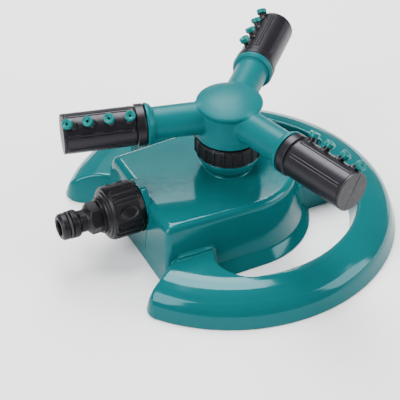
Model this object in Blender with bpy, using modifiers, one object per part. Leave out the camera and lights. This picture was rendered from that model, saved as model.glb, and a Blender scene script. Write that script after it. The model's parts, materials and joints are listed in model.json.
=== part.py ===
"""Three-arm rotating lawn sprinkler with a horseshoe base, aimable nozzle tubes and a hose plug.

The frame has its origin on the floor under the middle of the whole, +Z up, and the hose inlet at
the front, at -Y.
The pieces are modelled about the rotor's axis, and main moves them all back by SHIFT_Y at the end.
Lengths are written in millimetres and turned into metres when a mesh is made.
"""
import math

import bmesh
import bpy
from mathutils import Matrix, Vector

MM = 0.001
GAP = 0.3            # clearance between neighbouring pieces
MERGE = 0.00001      # merge distance of the turned pieces, metres
WELD = 0.000002      # merge distance after booleans, metres
SHIFT_Y = 3.45       # from the rotor's axis to the middle of the whole length
BELOW = -6.0         # where cutters for the underside start
ABOVE = 30.0         # where cutters through the ring end

# --- base ring ---------------------------------------------------------------------------------
RING_FOOT_R = 110.3  # outer foot of the ring
RING_INNER_R = 84.8  # inner top edge of the ring
RING_TOP_Z = 20.2
RING_DRAFT = 4.8     # the inner wall stands this much further in at the floor
WALL = 2.3           # wall thickness of the moulding
WEB_BACK_Y = -36.5   # where the side webs end and the openings start
BRIDGE_HALF = 18.7   # half width of the bridge behind the housing
WINDOW_CORNER_R = 16.0
WINDOW_INNER_X = 30.0              # lies inside the housing
WEB_BEND_X = 63.0                  # inside this the web's edge bends back towards the housing
WEB_BEND = 0.02                    # by this times the square of the distance
WEB_BEND_STOPS = (48.0, 53.0, 58.0)
END_FOOT = (51.0, -78.1)           # a point on the foot of the ring's +X end face
END_TURN_DEG = 36.07               # the way into the ring from that face, from +X
END_LEAN = 6.9                     # how far back the face leans at the ring's top
END_KNEE = 15.5                    # from that point out to where the cut corner starts
END_OUT, END_IN = 45.0, 34.0       # how far the cut runs on from there, and inwards
END_FRONT_Y = -130.0
CUT_LEVELS = (BELOW, 0.0, RING_TOP_Z, ABOVE)
# half section of the ring's outer slope
RING_DOME = (
    (RING_INNER_R, RING_TOP_Z),
    (89.0, 19.8),
    (94.0, 18.6),
    (99.0, 16.6),
    (103.0, 14.2),
    (105.8, 11.4),
    (107.3, 8.4),
    (RING_FOOT_R, 0.0),
)

# --- housing -----------------------------------------------------------------------------------
HOUSING_TOP_Z = 41.2
HOUSING_CORNER_R = 3.5
# height, half width at the front, front face y, radius and centre y of the round rear end
HOUSING_LEVELS = (
    (0.0, 55.5, -67.6, 55.5, -1.0),
    (7.0, 48.6, -66.5, 49.2, -0.5),
    (37.2, 42.0, -63.6, 45.2, -0.8),
    (40.0, 40.8, -62.4, 44.2, -1.0),
    (HOUSING_TOP_Z, 38.6, -60.4, 42.0, -1.0),
)

# --- water inlet -------------------------------------------------------------------------------
INLET_Z = 31.5       # height of the hose axis
COLLAR_R = 16.4
COLLAR_FRONT_Y = -64.3
COLLAR_BACK_Y = -60.0
SPOUT_R = 12.9
SPOUT_END_Y = -78.9
PIPE_R = 6.3
PIPE_BORE_R = 4.9
RISER_R = 10.9
RISER_TOP_Z = 48.6
SCREW_X = 22.0
POST_BOTTOM_Z = 31.0

# --- swivel ------------------------------------------------------------------------------------
BOSS_BORE_R = 11.2
BOSS_NECK_R = 18.6
BOSS_TOP_Z = 60.2
BOSS_SHOULDER_Z = 53.4
BOSS_FOOT_R = 14.9
SEAL_R = 18.2        # outer radius of the seals and of the spindle's flange
SPINDLE_R = 10.8
NUT_R = 21.85
NUT_BOTTOM_Z = 54.0
NUT_TOP_Z = 66.2
HUB_BOTTOM_Z = 67.4

# --- rotor -------------------------------------------------------------------------------------
ARM_Z = 80.7         # height of the arms' axes
ARM_START_DEG = -104.4
ARM_COUNT = 3
ARM_R = 10.4
ARM_BORE_R = 6.6
FLANGE_IN = 49.4     # distances along an arm, from the rotor's axis
FLANGE_OUT = 53.3
FLANGE_R = 13.8
TUBE_START = 53.6
COLLAR_END = 59.6
TUBE_CAP = 103.6
TUBE_END = 105.0
TUBE_R = 12.5
TUBE_COLLAR_R = 13.1

# --- nozzles -----------------------------------------------------------------------------------
NOZZLE_ROLL_DEG = 33.0                       # the row leans this far from straight up
NOZZLE_BASES = (64.0, 75.6, 87.4, 98.8)      # distances along the arm
NOZZLE_TILTS_DEG = (0.0, 14.0, 28.0, 42.0)   # the jets fan outwards along the tube
NOZZLE_FOOT_R = 12.0
STEM_R = 2.3
CAP_R = 3.3
CAP_BOTTOM = 4.2
CAP_TOP = 6.7

# --- hose coupling -----------------------------------------------------------------------------
UNION_R = 17.2
UNION_FRONT_Y = -89.0
UNION_BACK_Y = -64.8
UNION_BORE_R = 13.3
DIMPLE_DEG = 29.0    # the first thumb dimple's angle round the hose axis, from +X
DIMPLE_Y = -76.0
PLUG_TIP_Y = -117.2
PLUG_BORE_R = 4.9
FLANGE_FACE_Y = -82.2


# --- helpers -----------------------------------------------------------------------------------

def clear_scene():
    for obj in list(bpy.data.objects):
        bpy.data.objects.remove(obj, do_unlink=True)


def new_collection(name):
    collection = bpy.data.collections.new(name)
    bpy.context.scene.collection.children.link(collection)
    return collection


def plastic(name, colour, roughness, metallic=0.0):
    mat = bpy.data.materials.new(name)
    mat.use_nodes = True
    shader = mat.node_tree.nodes["Principled BSDF"]
    shader.inputs["Base Color"].default_value = (*colour, 1.0)
    shader.inputs["Roughness"].default_value = roughness
    shader.inputs["Metallic"].default_value = metallic
    return mat


def metres(*values):
    return Vector([value * MM for value in values])


def add_object(name, mesh, mat, collection, matrix=None):
    obj = bpy.data.objects.new(name, mesh)
    collection.objects.link(obj)
    obj.data.materials.clear()
    if mat is not None:
        obj.data.materials.append(mat)
    if matrix is not None:
        obj.matrix_world = matrix
    return obj


def weld(obj):
    """Joins the points that a boolean leaves a hair apart."""
    modifier = obj.modifiers.new("Weld", "WELD")
    modifier.merge_threshold = WELD
    return obj


def smooth(obj, angle_deg=35.0):
    obj.data.shade_smooth()
    obj.data.set_sharp_from_angle(angle=math.radians(angle_deg))
    return obj


def add_screw(obj, steps):
    screw = obj.modifiers.new("Turn", "SCREW")
    screw.steps = steps
    screw.render_steps = steps
    screw.use_merge_vertices = True
    screw.merge_threshold = MERGE
    screw.use_smooth_shade = True
    return screw


def turned(name, profile, mat, collection, steps=32, matrix=None, closed=True):
    """A turned piece: (radius, height) points that run down the outer side."""
    mesh = bpy.data.meshes.new(name)
    count = len(profile)
    edges = [(i, i + 1) for i in range(count - 1)]
    if closed:
        edges.append((count - 1, 0))
    mesh.from_pydata([metres(r, 0.0, z) for r, z in profile], edges, [])
    obj = add_object(name, mesh, mat, collection, matrix)
    add_screw(obj, steps)
    return obj


def loft(name, sections, mat, collection, matrix=None):
    """A closed solid through loops of points that all have the same count and run anticlockwise."""
    bm = bmesh.new()
    rings = [[bm.verts.new(metres(*point)) for point in section] for section in sections]
    count = len(rings[0])
    for low, high in zip(rings, rings[1:]):
        for i in range(count):
            j = (i + 1) % count
            bm.faces.new((low[i], low[j], high[j], high[i]))
    bm.faces.new(list(reversed(rings[0])))
    bm.faces.new(rings[-1])
    mesh = bpy.data.meshes.new(name)
    bm.to_mesh(mesh)
    bm.free()
    return add_object(name, mesh, mat, collection, matrix)


def tube_ring(centre_r, wire_r, centre_z, points=8):
    """The profile of an O-ring."""
    profile = []
    for i in range(points):
        angle = math.radians(90.0) - 2.0 * math.pi * i / points
        profile.append((centre_r + wire_r * math.cos(angle), centre_z + wire_r * math.sin(angle)))
    return profile


def washer(inner_r, outer_r, low, high):
    return [(inner_r, high), (outer_r, high), (outer_r, low), (inner_r, low)]


def cutter_look(obj):
    obj.hide_render = True
    obj.display_type = "WIRE"
    return obj


def boolean(obj, other, operation="DIFFERENCE"):
    modifier = obj.modifiers.new(operation.title(), "BOOLEAN")
    modifier.operation = operation
    modifier.object = other
    modifier.solver = "EXACT"
    return modifier


def arc(cx, cy, radius, start_deg, end_deg, steps):
    points = []
    for i in range(steps + 1):
        angle = math.radians(start_deg + (end_deg - start_deg) * i / steps)
        points.append((cx + radius * math.cos(angle), cy + radius * math.sin(angle)))
    return points


# --- axes --------------------------------------------------------------------------------------

# local +Z runs towards -Y, out of the hose inlet, and local +Y runs up
HOSE_AXIS = Matrix.Translation(metres(0, 0, INLET_Z)) @ Matrix.Rotation(math.radians(90.0), 4, "X")


def arm_axis(index):
    """Local +Z runs out along the arm and local +X runs up."""
    angle = math.radians(ARM_START_DEG + 360.0 / ARM_COUNT * index)
    out = Vector((math.cos(angle), math.sin(angle), 0.0))
    up = Vector((0.0, 0.0, 1.0))
    side = out.cross(up)
    turn = Matrix((up, side, out)).transposed().to_4x4()
    return Matrix.Translation(metres(0, 0, ARM_Z)) @ turn


def nozzle_axis(arm_index, nozzle_index):
    """Local +Z runs out of the nozzle, from the foot of its stem."""
    roll = Matrix.Rotation(math.radians(-NOZZLE_ROLL_DEG), 4, "Z")
    foot = Matrix.Translation(metres(NOZZLE_FOOT_R, 0, NOZZLE_BASES[nozzle_index]))
    tilt = Matrix.Rotation(math.radians(90.0 - NOZZLE_TILTS_DEG[nozzle_index]), 4, "Y")
    return arm_axis(arm_index) @ roll @ foot @ tilt


# --- base --------------------------------------------------------------------------------------

def housing_outline(half_width, front_y, rear_r, rear_y, z):
    """Rounded front corners, straight sides and a half-round rear end, anticlockwise from above."""
    corner = HOUSING_CORNER_R
    points = []
    points += arc(-half_width + corner, front_y + corner, corner, 180.0, 270.0, 4)
    points += arc(half_width - corner, front_y + corner, corner, 270.0, 360.0, 4)
    points += arc(0.0, rear_y, rear_r, 0.0, 180.0, 18)
    return [(x, y, z) for x, y in points]


def housing_solid(name, inset, collection):
    """The housing's outside, or with an inset the hollow under it."""
    sections = []
    levels = HOUSING_LEVELS
    if inset:
        half_width, front_y, rear_r, rear_y = levels[0][1:]
        flare = inset + 4.0
        below = housing_outline(half_width - flare, front_y + inset + 1.0, rear_r - flare, rear_y, BELOW)
        sections.append(below)
    for z, half_width, front_y, rear_r, rear_y in levels:
        height = z - inset if z > HOUSING_TOP_Z / 2 else z
        sections.append(housing_outline(half_width - inset, front_y + inset, rear_r - inset, rear_y, height))
    return loft(name, sections, None, collection)


def ring_profile(inset):
    """Half section of the disc that the ring is cut from; the inset makes the hollow under it."""
    profile = [(0.0, RING_TOP_Z - inset)]
    for r, z in RING_DOME:
        profile.append((r - inset * min(1.0, r / RING_FOOT_R), max(z - inset * (z > 0.0), 0.0)))
    if inset:
        profile.append((RING_FOOT_R - inset, BELOW))
        profile.append((0.0, BELOW))
    else:
        profile.append((0.0, 0.0))
    return profile


def window_outline(z, inset):
    """One opening beside the housing, on the +X side. Its inner edge lies inside the housing."""
    lean = RING_DRAFT * max(z, 0.0) / RING_TOP_Z
    ring_r = RING_INNER_R - RING_DRAFT + lean + inset
    bridge_x = BRIDGE_HALF - lean * 0.3 - inset
    web_y = WEB_BACK_Y - lean * 0.5 - inset
    corner = WINDOW_CORNER_R + inset
    end_deg = math.degrees(math.acos(bridge_x / ring_r))
    corner_deg = -math.degrees(math.asin((-web_y - corner) / (ring_r - corner)))
    corner_x = (ring_r - corner) * math.cos(math.radians(corner_deg))
    corner_y = (ring_r - corner) * math.sin(math.radians(corner_deg))
    points = [(WINDOW_INNER_X, web_y + WEB_BEND * (WEB_BEND_X - WEB_BEND_STOPS[0]) ** 2)]
    points += [(x, web_y + WEB_BEND * (WEB_BEND_X - x) ** 2) for x in WEB_BEND_STOPS]
    points += arc(corner_x, corner_y, corner, 270.0, 360.0 + corner_deg, 6)
    points += arc(0.0, 0.0, ring_r, corner_deg + 4.0, end_deg, 16)
    points += [(bridge_x, WINDOW_INNER_X + 10.0), (bridge_x, WINDOW_INNER_X)]
    return [(x, y, z) for x, y in points]


def mirror_x(points):
    return [(-x, y, z) for x, y, z in reversed(points)]


def window_solid(name, side, inset, collection):
    sections = [window_outline(z, inset) for z in CUT_LEVELS]
    if side < 0:
        sections = [mirror_x(section) for section in sections]
    return loft(name, sections, None, collection)


def front_outline(z, inset):
    """The space in front of the ring's two ends; the faces lean back as they rise.

    The outer corner of each end is cut off halfway between the end face and the ring's side.
    """
    turn = math.radians(END_TURN_DEG)
    back = END_LEAN * max(z, 0.0) / RING_TOP_Z + inset
    foot_x = END_FOOT[0] + back * math.cos(turn)
    foot_y = END_FOOT[1] + back * math.sin(turn)
    corner_turn = turn + math.radians(45.0)
    knee = (foot_x + END_KNEE * math.sin(turn), foot_y - END_KNEE * math.cos(turn), z)
    outer = (knee[0] + END_OUT * math.sin(corner_turn), knee[1] - END_OUT * math.cos(corner_turn), z)
    front = (outer[0], END_FRONT_Y, z)
    inner = (foot_x - END_IN * math.sin(turn), foot_y + END_IN * math.cos(turn), z)
    half = [front, outer, knee, inner]
    return half + mirror_x(half)


def ring_solid(name, inset, collection):
    """The ring with its side webs and rear bridge, still a full disc under the housing."""
    disc = turned(name, ring_profile(inset), None, collection, steps=64, closed=False)
    for label, side in (("right", 1), ("left", -1)):
        window = window_solid(f"{name}_window_{label}", side, inset, collection)
        boolean(disc, cutter_look(window))
    front = loft(f"{name}_front", [front_outline(z, inset) for z in CUT_LEVELS], None, collection)
    boolean(disc, cutter_look(front))
    return disc


def boss_profile():
    """The bowl under the retaining nut and the plain neck that the nut goes over."""
    return [
        (0.0, BOSS_TOP_Z),
        (BOSS_NECK_R - 0.4, BOSS_TOP_Z),
        (BOSS_NECK_R, BOSS_TOP_Z - 0.5),
        (BOSS_NECK_R, BOSS_SHOULDER_Z),
        (20.4, BOSS_SHOULDER_Z),
        (20.3, 51.6),
        (18.9, 47.6),
        (16.6, 44.2),
        (BOSS_FOOT_R, 42.2),
        (BOSS_FOOT_R, 38.0),
        (0.0, 38.0),
    ]


def cylinder(name, radius, low, high, collection, steps=32, matrix=None, mat=None):
    profile = [(0.0, high), (radius, high), (radius, low), (0.0, low)]
    return turned(name, profile, mat, collection, steps, matrix, closed=False)


def make_base(mat, parts, cutters):
    outside = housing_solid("base_shell", 0.0, parts)
    outside.data.materials.append(mat)
    ring = ring_solid("ring_outside", 0.0, cutters)
    boolean(outside, cutter_look(ring), "UNION")
    boss = turned("boss_outside", boss_profile(), None, cutters, steps=32, closed=False)
    boolean(outside, cutter_look(boss), "UNION")

    hollow = housing_solid("housing_hollow", WALL, cutters)
    ring_hollow = ring_solid("ring_hollow", WALL, cutters)
    boolean(hollow, cutter_look(ring_hollow), "UNION")
    boolean(outside, cutter_look(hollow))

    for label, x in (("left", -SCREW_X), ("right", SCREW_X)):
        place = Matrix.Translation(metres(x, 0, 0))
        post = cylinder(f"post_{label}", 3.4, POST_BOTTOM_Z, HOUSING_TOP_Z - 1.0, cutters, 16, place)
        boolean(outside, cutter_look(post), "UNION")
        pilot = cylinder(f"pilot_{label}", 1.5, POST_BOTTOM_Z - 1.0, 38.4, cutters, 12, place)
        boolean(outside, cutter_look(pilot))

    bore = cylinder("boss_bore", BOSS_BORE_R, 36.0, BOSS_TOP_Z + 2.0, cutters, 24)
    boolean(outside, cutter_look(bore))
    collar_seat = cylinder("collar_seat", COLLAR_R + GAP, -COLLAR_BACK_Y - GAP, 80.0, cutters, 16, HOSE_AXIS)
    boolean(outside, cutter_look(collar_seat))
    return smooth(weld(outside))


def make_elbow(mat, parts, cutters):
    """Collar, threaded spout, pipe and riser in one piece, with two ears for its screws."""
    spout = [
        (0.0, -SPOUT_END_Y),
        (12.2, -SPOUT_END_Y),
        (SPOUT_R, -SPOUT_END_Y - 0.7),
        (SPOUT_R, -COLLAR_FRONT_Y),
        (COLLAR_R, -COLLAR_FRONT_Y),
        (COLLAR_R, -COLLAR_BACK_Y),
        (PIPE_R, -COLLAR_BACK_Y),
        (PIPE_R, 2.0),
        (0.0, 2.0),
    ]
    elbow = turned("inlet_elbow", spout, mat, parts, 24, HOSE_AXIS, closed=False)
    riser = [
        (0.0, RISER_TOP_Z),
        (10.4, RISER_TOP_Z),
        (RISER_R, RISER_TOP_Z - 0.6),
        (RISER_R, 44.8),
        (8.7, 44.8),
        (8.7, 42.2),
        (RISER_R, 42.2),
        (RISER_R, 21.5),
        (9.5, 20.5),
        (0.0, 20.5),
    ]
    riser_obj = turned("riser_outside", riser, None, cutters, 24, closed=False)
    boolean(elbow, cutter_look(riser_obj), "UNION")
    bpy.ops.mesh.primitive_cube_add(size=1.0, location=metres(0, 0, 29.2))
    ears = bpy.context.active_object
    ears.name = "ears"
    ears.scale = metres(2 * SCREW_X + 8.0, 8.0, 3.0)
    move_to(ears, cutters)
    boolean(elbow, cutter_look(ears), "UNION")
    pipe_bore = cylinder("pipe_bore", PIPE_BORE_R, 0.5, 90.0, cutters, 20, HOSE_AXIS)
    boolean(elbow, cutter_look(pipe_bore))
    spout_bore = cylinder("spout_bore", 8.0, 61.5, 90.0, cutters, 24, HOSE_AXIS)
    boolean(elbow, cutter_look(spout_bore))
    riser_bore = cylinder("riser_bore", 7.0, 24.0, 60.0, cutters, 24)
    boolean(elbow, cutter_look(riser_bore))
    for label, x in (("left", -SCREW_X), ("right", SCREW_X)):
        place = Matrix.Translation(metres(x, 0, 0))
        hole = cylinder(f"ear_hole_{label}", 1.7, 20.0, 40.0, cutters, 12, place)
        boolean(elbow, cutter_look(hole))
    return smooth(weld(elbow))


def move_to(obj, collection):
    for owner in list(obj.users_collection):
        owner.objects.unlink(obj)
    collection.objects.link(obj)


def make_elbow_fixings(steel, rubber, parts):
    turned("elbow_o_ring", tube_ring(9.95, 0.95, 43.5), rubber, parts, 20)
    screw = [(0.0, 37.0), (0.8, 37.0), (1.2, 36.0), (1.2, 27.4), (2.9, 27.4), (2.9, 26.4)]
    screw += [(1.6, 25.6), (0.0, 25.6)]
    for number, x in ((1, -SCREW_X), (2, SCREW_X)):
        place = Matrix.Translation(metres(x, 0, 0))
        turned(f"elbow_screw_{number}", screw, steel, parts, 12, place, closed=False)


# --- swivel ------------------------------------------------------------------------------------

def make_swivel(black, white, rubber, parts):
    turned("lower_seal", washer(11.6, SEAL_R, BOSS_TOP_Z + GAP, 61.3), white, parts, 28)
    turned("upper_washer", washer(14.9, SEAL_R, 63.3, 64.0), white, parts, 28)
    spindle = [
        (7.0, 73.6),
        (14.0, 73.6),
        (14.5, 73.0),
        (14.5, 63.0),
        (SEAL_R, 63.0),
        (SEAL_R, 61.6),
        (SPINDLE_R, 61.6),
        (SPINDLE_R, 55.2),
        (8.6, 55.2),
        (8.6, 52.6),
        (SPINDLE_R, 52.6),
        (SPINDLE_R, 50.0),
        (10.2, 49.3),
        (7.0, 49.3),
    ]
    turned("rotor_spindle", spindle, black, parts, 22)
    turned("spindle_o_ring", tube_ring(9.85, 0.95, 53.9), rubber, parts, 20)


def make_retaining_nut(mat, parts):
    """A ring with flutes round its outside."""
    flutes = 24
    steps = flutes * 3
    profile = [
        (14.9, NUT_TOP_Z),
        (20.6, NUT_TOP_Z),
        (NUT_R, 65.0),
        (NUT_R, 55.2),
        (20.9, NUT_BOTTOM_Z),
        (BOSS_NECK_R + 0.35, NUT_BOTTOM_Z),
        (BOSS_NECK_R + 0.35, 64.3),
        (14.9, 64.3),
    ]
    bm = bmesh.new()
    rings = []
    for step in range(steps):
        angle = 2.0 * math.pi * step / steps
        ring = []
        for index, (r, z) in enumerate(profile):
            fluted = index in (2, 3) and step % 3 == 0
            radius = r - 0.8 if fluted else r
            ring.append(bm.verts.new(metres(radius * math.cos(angle), radius * math.sin(angle), z)))
        rings.append(ring)
    count = len(profile)
    for step in range(steps):
        here = rings[step]
        there = rings[(step + 1) % steps]
        for i in range(count):
            j = (i + 1) % count
            bm.faces.new((here[i], here[j], there[j], there[i]))
    mesh = bpy.data.meshes.new("retaining_nut")
    bm.to_mesh(mesh)
    bm.free()
    return smooth(add_object("retaining_nut", mesh, mat, parts))


# --- rotor -------------------------------------------------------------------------------------

def make_hub(mat, parts, cutters):
    body = [
        (0.0, 95.4),
        (8.0, 94.9),
        (14.0, 93.5),
        (18.4, 91.9),
        (20.5, 90.6),
        (21.0, 89.6),
        (20.6, 88.4),
        (19.3, 87.6),
        (19.2, 80.0),
        (19.8, 73.0),
        (21.3, HUB_BOTTOM_Z + 0.6),
        (20.9, HUB_BOTTOM_Z),
        (0.0, HUB_BOTTOM_Z),
    ]
    hub = turned("rotor_hub", body, mat, parts, 32, closed=False)
    arm = [
        (0.0, 65.0),
        (8.6, 65.0),
        (9.2, 64.2),
        (9.2, 62.6),
        (8.1, 62.6),
        (8.1, 60.0),
        (9.2, 60.0),
        (9.2, 59.0),
        (8.4, 59.0),
        (8.4, 57.1),
        (9.2, 57.1),
        (9.2, FLANGE_OUT),
        (13.5, FLANGE_OUT),
        (FLANGE_R, 52.8),
        (FLANGE_R, 50.6),
        (13.0, FLANGE_IN),
        (ARM_R, FLANGE_IN),
        (ARM_R, 12.0),
        (0.0, 12.0),
    ]
    for index in range(ARM_COUNT):
        solid = turned(f"arm_outside_{index + 1}", arm, None, cutters, 18, arm_axis(index), closed=False)
        boolean(hub, cutter_look(solid), "UNION")
    cavity = [
        (0.0, 89.5),
        (13.0, 88.0),
        (13.6, 86.0),
        (13.6, 74.2),
        (14.8, 74.2),
        (14.8, HUB_BOTTOM_Z - 2.0),
        (0.0, HUB_BOTTOM_Z - 2.0),
    ]
    boolean(hub, cutter_look(turned("hub_cavity", cavity, None, cutters, 24, closed=False)))
    for index in range(ARM_COUNT):
        bore = cylinder(f"arm_bore_{index + 1}", ARM_BORE_R, 8.0, 80.0, cutters, 16, arm_axis(index))
        boolean(hub, cutter_look(bore))
    return smooth(weld(hub))


def make_arm_fixings(rubber, steel, parts, cutters):
    for index in range(ARM_COUNT):
        place = arm_axis(index)
        turned(f"arm_o_ring_{index + 1}", tube_ring(9.35, 0.95, 61.3), rubber, parts, 18, place)
        snap = turned(f"snap_ring_{index + 1}", washer(8.7, 10.2, 57.4, 58.7), steel, parts, 20, place)
        bpy.ops.mesh.primitive_cube_add(size=1.0)
        slit = bpy.context.active_object
        slit.name = f"snap_slit_{index + 1}"
        slit.matrix_world = place @ Matrix.Translation(metres(-9.5, 0, 58.0)) @ Matrix.Diagonal(
            (0.004, 0.0022, 0.004, 1.0))
        move_to(slit, cutters)
        boolean(snap, cutter_look(slit))


def make_nozzle_tube(index, mat, parts, cutters):
    """Collar, tube and four stems in one moulding, open at both ends."""
    outside = [
        (0.0, TUBE_CAP - GAP),
        (TUBE_R, TUBE_CAP - GAP),
        (TUBE_R, COLLAR_END + 0.5),
        (12.0, COLLAR_END + 0.4),
        (12.0, COLLAR_END),
        (TUBE_COLLAR_R, COLLAR_END),
        (TUBE_COLLAR_R, TUBE_START),
        (0.0, TUBE_START),
    ]
    inside = [
        (0.0, TUBE_CAP + 2.0),
        (10.6, TUBE_CAP + 2.0),
        (10.6, 57.1),
        (9.6, 57.1),
        (9.6, TUBE_START - 2.0),
        (0.0, TUBE_START - 2.0),
    ]
    name = f"nozzle_tube_{index + 1}"
    tube = turned(name, outside, mat, parts, 24, arm_axis(index), closed=False)
    for nozzle in range(len(NOZZLE_BASES)):
        label = f"{index + 1}_{nozzle + 1}"
        stem = cylinder(f"stem_{label}", STEM_R, -0.8, 5.0, cutters, 12, nozzle_axis(index, nozzle))
        boolean(tube, cutter_look(stem), "UNION")
    bore = turned(f"tube_bore_{index + 1}", inside, None, cutters, 20, arm_axis(index), closed=False)
    boolean(tube, cutter_look(bore))
    for nozzle in range(len(NOZZLE_BASES)):
        label = f"{index + 1}_{nozzle + 1}"
        jet = cylinder(f"jet_{label}", 1.1, -4.0, 8.0, cutters, 8, nozzle_axis(index, nozzle))
        boolean(tube, cutter_look(jet))
    return smooth(weld(tube))


def make_tube_fittings(index, grey, teal, parts):
    """The end cap with its plug, and a jet cap over each stem."""
    cap = [
        (0.0, TUBE_END),
        (12.2, TUBE_END),
        (TUBE_R, TUBE_END - 0.3),
        (TUBE_R, TUBE_CAP),
        (10.2, TUBE_CAP),
        (10.2, TUBE_CAP - 3.0),
        (8.6, TUBE_CAP - 3.0),
        (8.6, TUBE_CAP),
        (0.0, TUBE_CAP),
    ]
    turned(f"tube_end_cap_{index + 1}", cap, grey, parts, 24, arm_axis(index), closed=False)
    hole_r = 0.8
    jet_cap = [
        (hole_r, CAP_TOP - 0.5),
        (1.9, CAP_TOP - 0.5),
        (2.2, CAP_TOP),
        (CAP_R, CAP_TOP),
        (CAP_R, CAP_BOTTOM),
        (STEM_R + GAP, CAP_BOTTOM),
        (STEM_R + GAP, 5.3),
        (hole_r, 5.3),
    ]
    for nozzle in range(len(NOZZLE_BASES)):
        name = f"nozzle_cap_{index + 1}_{nozzle + 1}"
        turned(name, jet_cap, teal, parts, 12, nozzle_axis(index, nozzle))


# --- hose coupling -----------------------------------------------------------------------------

def make_union_nut(mat, parts, cutters):
    """A wide nut with a stepped front rim, four thumb dimples and ribs between them."""
    front = -UNION_FRONT_Y
    back = -UNION_BACK_Y
    profile = [
        (11.3, front),
        (12.3, front),
        (12.8, 87.9),
        (14.6, 87.6),
        (14.9, 86.6),
        (16.4, 86.2),
        (UNION_R, 84.0),
        (UNION_R, 68.2),
        (16.3, 66.4),
        (16.0, back),
        (UNION_BORE_R, back),
        (UNION_BORE_R, 85.2),
        (11.3, 85.2),
    ]
    nut = turned("union_nut", profile, mat, parts, 32, HOSE_AXIS)
    for number in range(4):
        turn = HOSE_AXIS @ Matrix.Rotation(math.radians(90.0 * number + DIMPLE_DEG), 4, "Z")
        bpy.ops.mesh.primitive_uv_sphere_add(segments=12, ring_count=8, radius=1.0)
        dimple = bpy.context.active_object
        dimple.name = f"dimple_{number + 1}"
        centre = Matrix.Translation(metres(UNION_R + 1.6, 0, -DIMPLE_Y))
        dimple.matrix_world = turn @ centre @ Matrix.Diagonal((0.0032, 0.0052, 0.0068, 1.0))
        move_to(dimple, cutters)
        boolean(nut, cutter_look(dimple))
    return smooth(weld(nut))


def make_hose_plug(mat, parts, cutters):
    """The male quick-connect plug: tip, O-ring groove, ridge, neck, hexagon and sealing flange."""
    tip = -PLUG_TIP_Y
    profile = [
        (PLUG_BORE_R, tip - 0.9),
        (PLUG_BORE_R + 0.9, tip),
        (7.2, tip),
        (8.5, tip - 1.3),
        (8.5, 112.4),
        (6.7, 112.4),
        (6.7, 109.6),
        (8.7, 109.6),
        (8.9, 108.6),
        (8.9, 106.2),
        (8.2, 105.0),
        (7.1, 104.2),
        (7.1, 99.6),
        (9.0, 97.4),
        (9.0, 91.6),
        (11.0, 91.6),
        (11.0, 84.9),
        (12.8, 84.9),
        (12.8, -FLANGE_FACE_Y),
        (7.2, -FLANGE_FACE_Y),
        (PLUG_BORE_R, 92.0),
    ]
    plug = turned("hose_plug", profile, mat, parts, 24, HOSE_AXIS)
    bpy.ops.mesh.primitive_cylinder_add(vertices=6, radius=10.4 * MM, depth=5.4 * MM)
    hexagon = bpy.context.active_object
    hexagon.name = "plug_hexagon"
    hexagon.matrix_world = HOSE_AXIS @ Matrix.Translation(metres(0, 0, 94.4))
    move_to(hexagon, cutters)
    hex_bore = cylinder("hexagon_bore", 7.9, 85.0, 105.0, cutters, 24, HOSE_AXIS)
    boolean(hexagon, cutter_look(hex_bore))
    boolean(plug, cutter_look(hexagon), "UNION")
    return smooth(weld(plug))


def make_coupling_seals(rubber, parts):
    turned("hose_washer", washer(7.4, 12.7, 79.2, 81.9), rubber, parts, 24, HOSE_AXIS)
    turned("plug_o_ring", tube_ring(8.0, 0.95, 111.0), rubber, parts, 20, HOSE_AXIS)


def main():
    clear_scene()
    parts = new_collection("lawn_sprinkler")
    cutters = new_collection("cutters")

    teal = plastic("teal_abs", (0.004, 0.216, 0.244), 0.16)
    teal_bright = plastic("teal_caps", (0.006, 0.290, 0.300), 0.24)
    black = plastic("black_nozzle", (0.020, 0.020, 0.024), 0.30)
    satin = plastic("black_coupling", (0.012, 0.012, 0.013), 0.36)
    grey = plastic("grey_black_end", (0.090, 0.088, 0.096), 0.42)
    white = plastic("white_bearing", (0.780, 0.780, 0.760), 0.35)
    rubber = plastic("black_rubber", (0.015, 0.015, 0.015), 0.60)
    steel = plastic("stainless", (0.560, 0.560, 0.560), 0.30, 1.0)

    make_base(teal, parts, cutters)
    make_elbow(teal, parts, cutters)
    make_elbow_fixings(steel, rubber, parts)
    make_swivel(satin, white, rubber, parts)
    make_retaining_nut(satin, parts)
    make_hub(teal, parts, cutters)
    make_arm_fixings(rubber, steel, parts, cutters)
    for index in range(ARM_COUNT):
        make_nozzle_tube(index, black, parts, cutters)
        make_tube_fittings(index, grey, teal_bright, parts)
    make_union_nut(satin, parts, cutters)
    make_hose_plug(satin, parts, cutters)
    make_coupling_seals(rubber, parts)
    for obj in [*parts.objects, *cutters.objects]:
        obj.location.y += SHIFT_Y * MM


main()
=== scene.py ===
"""The looks of the rotating lawn sprinkler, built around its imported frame.

Shapes are worked out in millimetres about the rotor's vertical axis, with the hose towards -Y,
and turned into metres and moved to the frame's axis when a mesh is made.
"""
import json
import math

import bpy
import numpy as np
from mathutils import Matrix, Vector


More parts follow.
